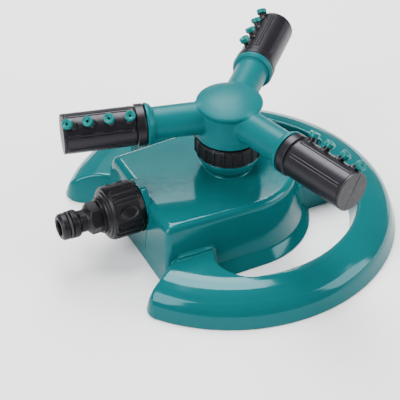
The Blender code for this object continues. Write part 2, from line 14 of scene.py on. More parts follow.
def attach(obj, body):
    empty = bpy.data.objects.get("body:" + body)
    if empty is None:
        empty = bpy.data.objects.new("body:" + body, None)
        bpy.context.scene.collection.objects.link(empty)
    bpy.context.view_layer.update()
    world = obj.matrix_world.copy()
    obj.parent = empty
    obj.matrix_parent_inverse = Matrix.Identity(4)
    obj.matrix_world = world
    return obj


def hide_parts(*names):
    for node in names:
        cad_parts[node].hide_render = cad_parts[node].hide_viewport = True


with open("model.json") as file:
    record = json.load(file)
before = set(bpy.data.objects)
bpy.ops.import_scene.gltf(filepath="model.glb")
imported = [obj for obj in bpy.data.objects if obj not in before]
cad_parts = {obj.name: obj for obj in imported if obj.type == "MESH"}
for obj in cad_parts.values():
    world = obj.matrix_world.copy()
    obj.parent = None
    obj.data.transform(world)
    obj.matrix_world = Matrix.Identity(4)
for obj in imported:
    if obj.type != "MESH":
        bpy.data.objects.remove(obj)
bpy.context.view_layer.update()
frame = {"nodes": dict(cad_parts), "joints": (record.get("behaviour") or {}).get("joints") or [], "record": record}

# --- places taken from the frame ---------------------------------------------------------------
MM = 0.001
JOINTS = {joint["name"]: joint for joint in frame["joints"]}
AXIS_Y = JOINTS["rotor_spin"]["pos_m"][1]
INLET_Z = JOINTS["union_nut_turn"]["pos_m"][2] / MM
ARM_Z = JOINTS["tube_1_turn"]["pos_m"][2] / MM
ARMS = (1, 2, 3)
NOZZLES = (1, 2, 3, 4)

PLACE = Matrix.Translation((0.0, AXIS_Y, 0.0))
# local +Z runs towards -Y, out of the hose inlet, and local +Y runs up
HOSE_AXIS = PLACE @ Matrix.Translation((0.0, 0.0, INLET_Z * MM)) @ Matrix.Rotation(math.radians(90.0), 4, "X")

# --- sizes, millimetres ------------------------------------------------------------------------
WALL = 2.3
HOUSING_TOP_Z = 41.2
# height, half width at the front, front face y, radius and centre y of the round rear end
HOUSING_LEVELS = np.array((
    (0.0, 55.5, -67.6, 55.5, -1.0),
    (7.0, 48.6, -66.5, 49.2, -0.5),
    (37.2, 42.0, -63.6, 45.2, -0.8),
    (40.0, 40.8, -62.4, 44.2, -1.0),
    (HOUSING_TOP_Z, 38.6, -60.4, 42.0, -1.0),
))
HOUSING_CORNER_R = 3.3
HOUSING_EDGE_R = 0.6                  # round the top's sides and rear
HOUSING_FRONT_EDGE_R = 2.1            # along the top's front
HOUSING_FRONT_EDGE_RUN = 8.0          # from the front face back to where the edge is sharp again
SEAM_XS = (15.2, 15.8)                # two fine grooves down the housing's front
SEAM_ZS = (8.0, 25.0)
SEAM_DEPTH = 0.7
RING_INNER_R = 84.8
RING_TOP_Z = 20.2
RING_DRAFT = 4.8
RING_DOME = (
    (RING_INNER_R, RING_TOP_Z, 0), (89.0, 19.8, 6), (94.0, 18.6, 9), (99.0, 16.6, 9),
    (103.0, 14.2, 9), (105.8, 11.4, 6), (107.3, 8.4, 4), (110.25, 0.0, 0),
)
WEB_BACK_Y = -36.5
BRIDGE_HALF = 18.7
WINDOW_CORNER_R = 16.0
WEB_BEND_X = 63.0                     # inside this the web's edge bends back towards the housing
WEB_BEND = 0.02                       # by this times the square of the distance
LEDGE_OUT = 2.4                       # the ledge on each side of the housing's front, above the ring
LEDGE_TOP_Z = 22.0
LEDGE_FOOT_Z = 12.0
LEDGE_BACK_Y = -34.5
LEDGE_FRONT = 1.2                     # from the ring's end face back to the ledge's front
END_FOOT = (51.0, -78.1)              # a point on the foot of the ring's +X end face
END_TURN = math.radians(36.07)        # the way into the ring from that face, from +X
END_LEAN = 6.9                        # how far back the face leans at the ring's top
END_EDGE_R = 1.6                      # the end's edge high up
END_FOOT_R = 10.5                     # what the edge's radius gains at the floor
END_FOOT_TOP_Z = 14.3                 # where that gain runs out
BOSS_BORE_R = 11.2
BOSS_BORE_Z = 36.0
BOSS_SHOULDER_Z = 53.4
BOSS_TOP_Z = 60.2
POST_R = 3.4
POST_ZS = (31.0, 40.0)
SCREW_X = 22.0
SCREW_HOLE_R = 1.7

COLLAR_SEAT_R = 16.7                  # the cut in the housing that the inlet's collar sits in
COLLAR_SEAT_Y = -59.7
COLLAR_FLAT_R = 15.6
PIPE_R, PIPE_BORE_R = 6.3, 4.9
PIPE_YS = (-61.0, 0.0)
RISER_R, RISER_BORE_R = 10.9, 7.0
RISER_ZS = (20.5, 48.6)
RISER_BORE_Z = 24.0
RISER_GROOVE_R = 8.7
RISER_GROOVE_ZS = (42.2, 44.8)
EAR_XS, EAR_YS, EAR_ZS = (-26.0, 26.0), (-4.0, 4.0), (27.7, 30.7)
THREAD_PITCH = 1.815
THREAD_DEPTH = 0.9
THREAD_ZS = (65.6, 77.8)

ARM_R = 10.4
ARM_ALONG = (10.0, 51.6)
FLANGE_IN = 49.4
FLANGE_OUT = 53.3
FLANGE_R = 13.45
TUBE_START = 53.6
COLLAR_END = 59.6
TUBE_CAP = 103.6
TUBE_END = 105.0
TUBE_R = 12.5
TUBE_COLLAR_R = 13.4
NOZZLE_ROLL = math.radians(33.0)
NOZZLE_BASES = (64.0, 75.6, 87.4, 98.8)
NOZZLE_TILTS = (0.0, 14.0, 28.0, 42.0)
NOZZLE_FOOT_R = 12.0
BEAD_TURNS = tuple(math.radians(turn) for turn in (-80.0, -32.0, 32.0, 80.0))
SLOT_ZS = (63.3, 101.2)
SLOT_HALF, SLOT_DEPTH = 1.40, 0.35
BEAD_HALF, BEAD_HEIGHT = 0.80, 0.47

UNION_R = 17.2
DIMPLE_TURN = math.radians(29.0)
DIMPLE_ALONG = 76.0
DIMPLE_HALF_WIDTH, DIMPLE_HALF_LENGTH, DIMPLE_DEPTH = 4.4, 6.3, 1.7
RIB_SPACING = 4.6
RIB_ALONG = 75.6
RIB_HALF_LENGTH, MIDDLE_RIB_HALF_LENGTH = 6.2, 7.4
RIB_HEIGHT = 0.75


# --- meshes ------------------------------------------------------------------------------------

def axis_samples(low, high, step, fine=()):
    """Places from low to high, a step apart, and closer in each fine range (start, end, step)."""
    places = [low]
    while places[-1] < high:
        here = places[-1]
        size = min([step] + [s for a, b, s in fine if a - step <= here < b])
        places.append(here + size)
    return np.array(places)


def rounded(points, steps=4, closed=True):
    """A profile whose corners (r, z, radius) are turned into arcs."""
    result = []
    count = len(points)
    for i, (r, z, radius) in enumerate(points):
        here = np.array((r, z), float)
        if not radius or (not closed and i in (0, count - 1)):
            result.append(here)
            continue
        before = np.array(points[i - 1][:2], float) - here
        after = np.array(points[(i + 1) % count][:2], float) - here
        length_a, length_b = np.linalg.norm(before), np.linalg.norm(after)
        before, after = before / length_a, after / length_b
        half = math.acos(np.clip(before @ after, -1.0, 1.0)) / 2.0
        cut = min(radius / math.tan(half), 0.49 * length_a, 0.49 * length_b)
        start, end, weight = here + before * cut, here + after * cut, math.sin(half)
        for k in range(steps + 1):
            t = k / steps
            a, b, c = (1 - t) ** 2, 2 * weight * t * (1 - t), t ** 2
            result.append((a * start + b * here + c * end) / (a + b + c))
    return np.array(result)


def dense(profile, step, closed=True):
    """The same profile with its long edges cut into pieces no longer than a step."""
    ends = np.roll(profile, -1, axis=0)
    if not closed:
        ends[-1] = profile[-1]
    result = []
    for start, end in zip(profile, ends):
        cuts = max(1, math.ceil(np.linalg.norm(end - start) / step))
        for k in range(cuts):
            result.append(start + (end - start) * k / cuts)
    return np.array(result)


def wrapped(angle):
    """The same angle between minus and plus half a turn."""
    return (angle + math.pi) % (2 * math.pi) - math.pi


def circle_angles(steps, dense_at=(), reach=0.0, spacing=1.0):
    """Angles round a circle, with closer ones within reach of each angle in dense_at."""
    angles = set(np.round(np.arange(steps) * 2 * math.pi / steps, 6))
    for centre in dense_at:
        count = int(math.ceil(reach / spacing))
        angles = {a for a in angles if abs(wrapped(a - centre)) > reach}
        angles |= {round((centre + k * spacing) % (2 * math.pi), 6) for k in range(-count, count + 1)}
    return np.array(sorted(angles))


def turned(profile, angles, shape=None):
    """Points and quads of a turned piece whose profile is a closed loop, down its outer side."""
    r = np.repeat(profile[:, :1], len(angles), axis=1)
    z = np.repeat(profile[:, 1:], len(angles), axis=1)
    turn = np.repeat(angles[None, :], len(profile), axis=0)
    if shape is not None:
        r, z = shape(r, z, turn)
    points = np.stack((r * np.cos(turn), r * np.sin(turn), z), axis=-1).reshape(-1, 3)
    rows, columns = r.shape
    i, j = np.meshgrid(np.arange(rows), np.arange(columns), indexing="ij")
    here, below = i * columns, (i + 1) % rows * columns
    beside = (j + 1) % columns
    quads = np.stack((here + j, below + j, below + beside, here + beside), -1)
    return points, quads.reshape(-1, 4)


def moved(shape, matrix):
    """Points and faces taken through a matrix whose places are in metres."""
    points, faces = shape
    turn = np.array(matrix.to_3x3())
    return points @ turn.T + np.array(matrix.translation) / MM, faces


def joined(shapes):
    """Several shapes as one."""
    points, faces, start = [], [], 0
    for some_points, some_faces in shapes:
        points.append(some_points)
        faces.append(some_faces + start)
        start += len(some_points)
    return np.concatenate(points), np.concatenate(faces)


def piece(name, shape, mat, body, nodes, matrix=None, normals=None, sharp=40.0):
    """Makes the object, lets it ride on its body and stand for its CAD nodes."""
    points, faces = moved(shape, matrix) if matrix is not None else shape
    mesh = bpy.data.meshes.new(name)
    mesh.from_pydata((points * MM).tolist(), [], faces.tolist())
    mesh.validate()
    mesh.shade_smooth()
    if normals is None:
        mesh.set_sharp_from_angle(angle=math.radians(sharp))
    else:
        mesh.normals_split_custom_set_from_vertices(normals.tolist())
    obj = bpy.data.objects.new(name, mesh)
    bpy.context.scene.collection.objects.link(obj)
    mesh.materials.append(mat)
    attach(obj, body)
    if nodes:
        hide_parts(*nodes)
    return obj


# --- fields: negative inside, about in millimetres -----------------------------------------------

def round_max(a, b, radius):
    """What two fields share, with the edge between them rounded off."""
    corner = np.hypot(np.maximum(a + radius, 0), np.maximum(b + radius, 0))
    return np.minimum(np.maximum(a, b), -radius) + corner


def round_min(a, b, radius):
    """Two fields together, with a fillet where they meet."""
    return -round_max(-a, -b, radius)


def slab(value, ends):
    """The field of everything between two ends along one measure."""
    low, high = ends
    return np.abs(value - (low + high) / 2) - (high - low) / 2


def profile_field(profile, low, high, pitch=0.3):
    """The field of a turned piece, from distances to its profile that are kept on a fine grid."""
    rs = np.arange(low[0], high[0] + pitch, pitch)
    zs = np.arange(low[1], high[1] + pitch, pitch)
    r, z = np.meshgrid(rs, zs, indexing="ij")
    nearest = np.full(r.shape, 1e9)
    inside = np.zeros(r.shape, bool)
    for (ar, az), (br, bz) in zip(profile, np.roll(profile, -1, axis=0)):
        run_r, run_z = br - ar, bz - az
        length = run_r ** 2 + run_z ** 2
        if length < 1e-12:
            continue
        t = np.clip(((r - ar) * run_r + (z - az) * run_z) / length, 0, 1)
        nearest = np.minimum(nearest, np.hypot(r - ar - t * run_r, z - az - t * run_z))
        crosses = (az > z) != (bz > z)
        inside ^= crosses & (r < ar + run_r * (z - az) / (run_z if abs(run_z) > 1e-9 else 1e-9))
    table = np.where(inside, -nearest, nearest)

    def field(radius, height):
        u = np.clip((radius - low[0]) / pitch, 0, len(rs) - 1.001)
        v = np.clip((height - low[1]) / pitch, 0, len(zs) - 1.001)
        i, j = u.astype(int), v.astype(int)
        u, v = u - i, v - j
        near = table[i, j] * (1 - v) + table[i, j + 1] * v
        far = table[i + 1, j] * (1 - v) + table[i + 1, j + 1] * v
        return near * (1 - u) + far * u
    return field


def gradient(field, points, step=0.06):
    """How fast a field grows along x, y and z at each point."""
    result = np.empty_like(points)
    for k in range(3):
        ahead, behind = points.copy(), points.copy()
        ahead[:, k] += step
        behind[:, k] -= step
        result[:, k] = (field(*ahead.T) - field(*behind.T)) / (2 * step)
    return result


def skin(field, xs, ys, zs):
    """Points, quads and normals of a field's zero surface.

    Each cell that the surface crosses gets one point, where the planes through its crossings meet,
    so that edges stay straight.
    """
    grid = np.meshgrid(xs, ys, zs, indexing="ij")
    places = (xs, ys, zs)
    values = field(*grid)
    inside = values < 0
    shape = np.array(values.shape) - 1
    cells, crossings, slopes, quads = [], [], [], []
    for axis in range(3):
        other, last = (axis + 1) % 3, (axis + 2) % 3
        inner = [slice(1, -1)] * 3
        inner[axis] = slice(0, shape[axis])
        ahead = list(inner)
        ahead[axis] = slice(1, shape[axis] + 1)
        start_in, end_in = inside[tuple(inner)], inside[tuple(ahead)]
        start = np.argwhere(start_in != end_in)
        start[:, other] += 1
        start[:, last] += 1
        end = start.copy()
        end[:, axis] += 1
        a, b = values[tuple(start.T)], values[tuple(end.T)]
        low = np.stack([places[k][start[:, k]] for k in range(3)], -1)
        run = places[axis][end[:, axis]] - low[:, axis]
        t = a / (a - b)
        point = low.copy()
        point[:, axis] = low[:, axis] + run * t
        middle = field(*point.T)
        first = (middle < 0) != (a < 0)
        near = np.where(first, a, b)
        t = np.where(first, t * near / (near - middle), t + (1 - t) * middle / (middle - near))
        point[:, axis] = low[:, axis] + run * t
        slope = gradient(field, point)
        slope /= np.maximum(np.linalg.norm(slope, axis=1), 1e-9)[:, None]
        ring = []
        for back_other, back_last in ((1, 1), (0, 1), (0, 0), (1, 0)):
            cell = start.copy()
            cell[:, other] -= back_other
            cell[:, last] -= back_last
            ring.append((cell[:, 0] * shape[1] + cell[:, 1]) * shape[2] + cell[:, 2])
        ring = np.stack(ring, -1)
        cells.append(ring.ravel())
        crossings.append(np.repeat(point, 4, axis=0))
        slopes.append(np.repeat(slope, 4, axis=0))
        quads.append(np.where((a < 0)[:, None], ring, ring[:, ::-1]))

    used, cells = np.unique(np.concatenate(cells), return_inverse=True)
    crossings, slopes = np.concatenate(crossings), np.concatenate(slopes)

    def summed(weights):
        return np.bincount(cells, weights, len(used))

    count = summed(None)
    centre = np.stack([summed(crossings[:, k]) for k in range(3)], -1) / count[:, None]
    offset = ((crossings - centre[cells]) * slopes).sum(1)
    matrix = np.stack([summed(slopes[:, i] * slopes[:, j]) for i in range(3) for j in range(3)], -1)
    matrix = matrix.reshape(-1, 3, 3) + 0.06 * count[:, None, None] * np.eye(3)
    target = np.stack([summed(slopes[:, k] * offset) for k in range(3)], -1)
    points = centre + np.linalg.solve(matrix, target[..., None])[..., 0]
    index = np.stack(np.unravel_index(used, shape), -1)
    for k in range(3):
        low, high = places[k][index[:, k]], places[k][index[:, k] + 1]
        points[:, k] = np.clip(points[:, k], low + 0.08 * (high - low), high - 0.08 * (high - low))
    for _ in range(2):
        slope = gradient(field, points)
        size = np.maximum((slope ** 2).sum(1), 0.3)
        points = points - np.clip(field(*points.T) / size, -0.3, 0.3)[:, None] * slope

    quads = np.searchsorted(used, np.concatenate(quads))
    normals = gradient(field, points, 0.3)
    normals /= np.maximum(np.linalg.norm(normals, axis=1), 1e-9)[:, None]
    return (points, quads), normals


# --- materials ---------------------------------------------------------------------------------

def plastic(name, colour, roughness, spread=0.05, mottle=0.10, grain=0.03, grain_scale=2600.0,
            wave=0.02, edge=0.25, specular=0.5, tint=(1.0, 1.0, 1.0), metallic=0.0):
    """Moulded plastic: mottled colour and gloss, a fine grain, slight sink waves and worn edges."""
    mat = bpy.data.materials.new(name)
    mat.use_nodes = True
    tree = mat.node_tree
    shader = tree.nodes["Principled BSDF"]
    shader.inputs["Metallic"].default_value = metallic
    shader.inputs["Specular IOR Level"].default_value = specular
    shader.inputs["Specular Tint"].default_value = (*tint, 1.0)

    def node(kind, **values):
        new = tree.nodes.new(kind)
        for key, value in values.items():
            if key in new.inputs:
                new.inputs[key].default_value = value
            else:
                setattr(new, key, value)
        return new

    def link(source, target):
        tree.links.new(source, target)

    place = node("ShaderNodeTexCoord").outputs["Object"]
    clouds = node("ShaderNodeTexNoise", Scale=38.0, Detail=4.0)
    specks = node("ShaderNodeTexNoise", Scale=420.0, Detail=3.0)
    fine = node("ShaderNodeTexNoise", Scale=grain_scale, Detail=2.0)
    waves = node("ShaderNodeTexNoise", Scale=55.0, Detail=1.0)
    for texture in (clouds, specks, fine, waves):
        link(place, texture.inputs["Vector"])

    tone = node("ShaderNodeMapRange")
    tone.inputs["From Min"].default_value, tone.inputs["From Max"].default_value = 0.3, 0.7
    tone.inputs["To Min"].default_value, tone.inputs["To Max"].default_value = 1.0 - mottle, 1.0 + mottle
    link(clouds.outputs["Fac"], tone.inputs["Value"])
    body = node("ShaderNodeMix", data_type="RGBA", blend_type="MULTIPLY")
    body.inputs["Factor"].default_value = 1.0
    body.inputs["A"].default_value = (*colour, 1.0)
    link(tone.outputs["Result"], body.inputs["B"])

    worn = node("ShaderNodeMapRange")
    worn.inputs["From Min"].default_value, worn.inputs["From Max"].default_value = 0.53, 0.66
    worn.inputs["To Min"].default_value, worn.inputs["To Max"].default_value = 0.0, edge
    link(node("ShaderNodeNewGeometry").outputs["Pointiness"], worn.inputs["Value"])
    pale = tuple(0.55 * c + 0.12 for c in colour)
    wear = node("ShaderNodeMix", data_type="RGBA")
    wear.inputs["B"].default_value = (*pale, 1.0)
    link(worn.outputs["Result"], wear.inputs["Factor"])
    link(body.outputs["Result"], wear.inputs["A"])
    link(wear.outputs["Result"], shader.inputs["Base Color"])

    gloss = node("ShaderNodeMapRange")
    gloss.inputs["From Min"].default_value, gloss.inputs["From Max"].default_value = 0.35, 0.65
    gloss.inputs["To Min"].default_value = roughness - spread
    gloss.inputs["To Max"].default_value = roughness + spread
    link(specks.outputs["Fac"], gloss.inputs["Value"])
    link(gloss.outputs["Result"], shader.inputs["Roughness"])

    sink = node("ShaderNodeBump", Strength=wave, Distance=0.002)
    link(waves.outputs["Fac"], sink.inputs["Height"])
    bump = node("ShaderNodeBump", Strength=grain, Distance=0.0004)
    link(fine.outputs["Fac"], bump.inputs["Height"])
    link(sink.outputs["Normal"], bump.inputs["Normal"])
    link(bump.outputs["Normal"], shader.inputs["Normal"])
    return mat


# tints of the reflections on the teal and on the black plastics
COOL = (0.45, 0.88, 1.0)
LAVENDER = (0.94, 0.90, 1.0)
TEAL = plastic("teal_abs", (0.0003, 0.082, 0.088), 0.12, spread=0.02, mottle=0.05, grain=0.005,
               wave=0.010, edge=0.10, specular=0.32, tint=COOL)
TEAL_HUB = plastic("teal_hub", (0.0004, 0.088, 0.096), 0.40, spread=0.03, mottle=0.05, grain=0.010,
                   wave=0.010, edge=0.10, specular=0.18, tint=COOL)
TEAL_CAP = plastic("teal_cap", (0.0006, 0.110, 0.105), 0.28, spread=0.03, mottle=0.06, grain=0.02,
                   edge=0.15, specular=0.35, tint=COOL)
BLACK = plastic("black_tube", (0.0034, 0.0031, 0.0046), 0.38, spread=0.03, mottle=0.12, grain=0.010,
                edge=0.06, specular=0.30, tint=LAVENDER)
SATIN = plastic("black_coupling", (0.0026, 0.0026, 0.0030), 0.42, spread=0.03, mottle=0.12, grain=0.02,
                edge=0.06, specular=0.28, tint=LAVENDER)
GREY = plastic("grey_end", (0.0075, 0.0072, 0.0095), 0.46, mottle=0.10, grain=0.05, grain_scale=1800.0,
               edge=0.08, specular=0.35)
WHITE = plastic("white_acetal", (0.74, 0.74, 0.71), 0.35, mottle=0.03, grain=0.03, edge=0.0)
RUBBER = plastic("black_rubber", (0.012, 0.012, 0.012), 0.55, mottle=0.15, grain=0.10, edge=0.05)
STEEL = plastic("stainless", (0.52, 0.52, 0.51), 0.30, mottle=0.08, grain=0.04, edge=0.10, metallic=1.0)


# --- base --------------------------------------------------------------------------------------

def level(z, column):
    """A housing measure at each height, with the kinks between its levels eased."""
    heights, values = HOUSING_LEVELS[:, 0], HOUSING_LEVELS[:, column]
    return sum(np.interp(z + shift, heights, values) for shift in (-0.6, -0.3, 0.0, 0.3, 0.6)) / 5.0


def wall_half(y, z):
    """The housing's half width, which grows a little from the front to the round rear end."""
    front, rear = level(z, 2), level(z, 4)
    share = np.clip((y - front) / (rear - front), 0.0, 1.0)
    return level(z, 1) * (1.0 - share) + level(z, 3) * share


def housing_field(x, y, z):
    """The housing's outside."""
    rear = level(z, 4)
    side = np.where(y > rear, np.hypot(x, y - rear) - level(z, 3), np.abs(x) - wall_half(y, z))
    front = level(z, 2) - y
    near_front = np.clip(1.0 + front / HOUSING_FRONT_EDGE_RUN, 0.0, 1.0)
    edge = HOUSING_EDGE_R + (HOUSING_FRONT_EDGE_R - HOUSING_EDGE_R) * near_front
    return round_max(round_max(side, front, HOUSING_CORNER_R), z - HOUSING_TOP_Z, edge)


def end_field(x, y, z):
    """Positive in front of the leaning end faces of the ring."""
    normal_x, normal_y = math.cos(END_TURN), math.sin(END_TURN)
    foot = END_FOOT[0] * normal_x + END_FOOT[1] * normal_y
    return foot + END_LEAN * np.maximum(z, 0) / RING_TOP_Z - (np.abs(x) * normal_x + y * normal_y)


def window_field(x, y, z):
    """The opening on each side between ring, web, housing and rear bridge."""
    lean = RING_DRAFT * np.clip(z, 0, RING_TOP_Z) / RING_TOP_Z
    inner = np.hypot(x, y) - (RING_INNER_R - RING_DRAFT + lean)
    web = WEB_BACK_Y - lean * 0.5 + WEB_BEND * np.maximum(WEB_BEND_X - np.abs(x), 0.0) ** 2 - y
    return round_max(round_max(inner, web, WINDOW_CORNER_R), BRIDGE_HALF - lean * 0.3 - np.abs(x), 5.0)


DOME = rounded([(0.0, RING_TOP_Z, 0), *RING_DOME, (110.25, -12.0, 0), (0.0, -12.0, 0)], closed=False)
dome_field = profile_field(DOME, (0.0, -11.0), (120.0, 26.0))
BOWL = rounded((
    (0.0, BOSS_TOP_Z, 0), (18.6, BOSS_TOP_Z, 0.6), (18.6, BOSS_SHOULDER_Z, 0.2),
    (20.4, BOSS_SHOULDER_Z, 0.5), (20.3, 51.6, 2.0), (18.9, 47.6, 6.0), (16.6, 44.2, 4.0),
    (14.9, 42.2, 1.0), (14.9, 38.9, 0), (0.0, 38.9, 0),
), closed=False)
bowl_field = profile_field(BOWL, (0.0, 34.0), (30.0, 66.0), 0.2)


def ring_field(x, y, z):
    """The ring, its webs and the rear bridge, still a full disc under the housing."""
    dome = dome_field(np.hypot(x, y), z)
    ring = round_max(dome, -window_field(x, y, z), 1.1)
    corner = END_EDGE_R + END_FOOT_R * np.clip(1.0 - z / END_FOOT_TOP_Z, 0.0, 1.0)
    return round_max(ring, end_field(x, y, z), corner)


def ledge_field(x, y, z):
    """A narrow step along the housing's side, from the ring's end back to the window."""
    ledge = round_max(np.abs(x) - wall_half(y, z) - LEDGE_OUT, z - LEDGE_TOP_Z, 0.7)
    ledge = round_max(ledge, y - LEDGE_BACK_Y, 1.0)
    ledge = np.maximum(ledge, end_field(x, y, z) + LEDGE_FRONT)
    return np.maximum(ledge, LEDGE_FOOT_Z - z)


def seam_field(x, y, z):
    """Two fine grooves down the housing's front face, one on each side."""
    seam = np.maximum(slab(np.abs(x), SEAM_XS), slab(z, SEAM_ZS))
    return np.maximum(seam, y - level(z, 2) - SEAM_DEPTH)


def base_field(x, y, z):
    """Housing, ring and ledges hollowed from below, with the screw posts and the swivel boss."""
    housing, ring = housing_field(x, y, z), ring_field(x, y, z)
    body = round_min(housing, ring, 1.2)
    hollow = np.minimum(housing, ring) + WALL
    body = round_min(body, ledge_field(x, y, z), 0.4)
    body = np.maximum(body, -seam_field(x, y, z))

    shell = round_max(round_max(body, -hollow, 0.3), -z, 0.7)
    posts = np.hypot(np.abs(x) - SCREW_X, y) - POST_R
    shell = round_min(shell, round_max(posts, slab(z, POST_ZS), 0.4), 0.8)
    shell = round_min(shell, bowl_field(np.hypot(x, y), z), 1.0)
    bore = np.maximum(np.hypot(x, y) - BOSS_BORE_R, BOSS_BORE_Z - z)
    seat = np.maximum(np.hypot(x, z - INLET_Z) - COLLAR_SEAT_R, y - COLLAR_SEAT_Y)
    return np.maximum(shell, -np.minimum(bore, seat))


def make_base():
    """The base as one skin, with closer samples where its edges and grooves are."""
    step = 1.15
    xs = axis_samples(-112.0, 112.0, step, ((-16.2, -14.8, 0.2), (14.8, 16.2, 0.2)))
    ys = axis_samples(-95.0, 112.0, step, ((-69.0, -60.0, 0.45),))
    zs = axis_samples(-1.0, 62.0, step * 0.7, ((38.5, 42.5, 0.35), (19.0, 23.0, 0.5), (6.0, 9.0, 0.5)))
    shape, normals = skin(base_field, xs, ys, zs)
    piece("base_shell_moulding", shape, TEAL, "base", ["base_shell"], PLACE, normals)


# --- inlet elbow -------------------------------------------------------------------------------

def elbow_field(x, y, z):
    """The pipe, the riser and the ears inside the base."""
    pipe = round_max(np.hypot(x, z - INLET_Z) - PIPE_R, slab(y, PIPE_YS), 0.5)
    riser = round_max(np.hypot(x, y) - RISER_R, slab(z, RISER_ZS), 1.0)
    groove = np.maximum(slab(z, RISER_GROOVE_ZS), RISER_GROOVE_R - np.hypot(x, y))
    ears = round_max(round_max(slab(x, EAR_XS), slab(y, EAR_YS), 3.5), slab(z, EAR_ZS), 0.5)
    outside = round_min(np.maximum(riser, -groove), round_min(pipe, ears, 1.5), 1.5)
    bores = np.minimum(
        np.maximum(np.hypot(x, z - INLET_Z) - PIPE_BORE_R, y - 1.0),
        np.maximum(np.hypot(x, y) - RISER_BORE_R, RISER_BORE_Z - z),
    )
    holes = np.hypot(np.abs(x) - SCREW_X, y) - SCREW_HOLE_R
    return np.maximum(outside, -np.minimum(bores, holes))


def collar_shape(r, z, turn):
    """Eight flats round the collar's rim."""
    pitch = math.pi / 4
    flat = COLLAR_FLAT_R / np.cos((turn + pitch / 2) % pitch - pitch / 2)
    return np.where((r > 14.0) & (z < 64.6), np.minimum(r, flat), r), z


def spout_shape(r, z, turn):
    """A rounded thread on the spout."""
    phase = (z / THREAD_PITCH + turn / (2 * math.pi)) % 1.0
    fade = np.clip((z - THREAD_ZS[0]) / 1.2, 0, 1) * np.clip((THREAD_ZS[1] - z) / 1.2, 0, 1)
    depth = THREAD_DEPTH / 2 * fade * (1.0 + np.cos(2 * math.pi * phase))
    return np.where(r > 12.0, r - depth, r), z


def make_elbow():
    """Pipe, collar and threaded spout in one piece."""
    step = 0.8
    pipe, _ = skin(
        elbow_field,
        axis_samples(-28.0, 28.0, step),
        axis_samples(-62.5, 13.0, step),
        axis_samples(18.5, 50.5, step * 0.8),
    )
    collar = rounded(((5.0, 64.3, 0), (16.4, 64.3, 0.8), (16.4, 60.0, 0.5), (5.0, 60.0, 0)))
    spout = rounded(((8.0, 78.9, 0.5), (12.9, 78.9, 0.8), (12.9, 64.0, 0), (8.0, 64.0, 0)))
    shapes = [
        moved(pipe, PLACE),
        moved(turned(dense(collar, 1.0), circle_angles(192), collar_shape), HOSE_AXIS),
        moved(turned(dense(spout, 0.22), circle_angles(120), spout_shape), HOSE_AXIS),
    ]
    piece("inlet_elbow_moulding", joined(shapes), TEAL, "base", ["inlet_elbow"])


def cross_recess(r, z, turn):
    """A cross in the face of a screw's head."""
    across = np.minimum(np.abs(r * np.cos(turn)), np.abs(r * np.sin(turn)))
    depth = 0.8 * np.clip((0.45 - across) / 0.15, 0, 1) * np.clip((1.9 - r) / 0.3, 0, 1)
    return r, np.where(z < 26.6, z + depth, z)


def make_screws():
    """Pan-head screws that hold the elbow's ears to the posts, seen from below."""
    head = rounded((
        (0.02, 27.3, 0), (2.9, 27.4, 0.2), (2.9, 26.4, 0.5), (1.6, 25.6, 0.8), (0.02, 25.5, 0),
    ))
    shank = rounded((
        (0.02, 37.0, 0), (0.8, 37.0, 0), (1.25, 36.0, 0.2), (1.25, 27.3, 0), (0.02, 27.3, 0),
    ))
    for number, x in ((1, -SCREW_X), (2, SCREW_X)):
        shapes = [
            turned(dense(head, 0.12), circle_angles(96), cross_recess),
            turned(shank, circle_angles(24)),
        ]
        place = PLACE @ Matrix.Translation((x * MM, 0.0, 0.0))
        name = f"elbow_screw_{number}"
        piece(f"{name}_panhead", joined(shapes), STEEL, "base", [name], place)


# --- swivel and rotor --------------------------------------------------------------------------

def arm_axis(number):
    """Local +Z runs out along the arm and local +X runs up."""
    out = Vector(JOINTS[f"tube_{number}_turn"]["axis"]).normalized()
    up = Vector((0.0, 0.0, 1.0))
    turn = Matrix((up, out.cross(up), out)).transposed().to_4x4()
    return PLACE @ Matrix.Translation((0.0, 0.0, ARM_Z * MM)) @ turn


def nozzle_axis(arm, nozzle):
    """Local +Z runs out of the nozzle, from the foot of its stem."""
    roll = Matrix.Rotation(-NOZZLE_ROLL, 4, "Z")
    foot = Matrix.Translation((NOZZLE_FOOT_R * MM, 0.0, NOZZLE_BASES[nozzle - 1] * MM))
    tilt = Matrix.Rotation(math.radians(90.0 - NOZZLE_TILTS[nozzle - 1]), 4, "Y")
    return arm_axis(arm) @ roll @ foot @ tilt


HUB = rounded((
    (0.0, 95.4, 0), (8.0, 94.9, 30), (14.0, 93.5, 30), (18.4, 91.9, 10), (20.6, 90.9, 1.0),
    (21.0, 89.9, 0.8), (20.5, 88.9, 1.0), (19.3, 87.0, 3.0), (19.1, 80.0, 20), (19.8, 72.0, 12),
    (21.3, 68.2, 0.6), (20.9, 67.4, 0.4), (0.0, 67.4, 0),
), closed=False)
hub_turned_field = profile_field(HUB, (0.0, 63.0), (60.0, 99.0), 0.2)


def hub_field(x, y, z):
    """The turned hub with a fillet round the root of each arm."""
    field = hub_turned_field(np.hypot(x, y), z)
    for number in ARMS:
        out = JOINTS[f"tube_{number}_turn"]["axis"]
        along = x * out[0] + y * out[1]
        aside = x * out[1] - y * out[0]
        arm = np.maximum(np.hypot(aside, z - ARM_Z) - ARM_R, slab(along, ARM_ALONG))
        field = round_min(field, arm, 1.3)
    return field


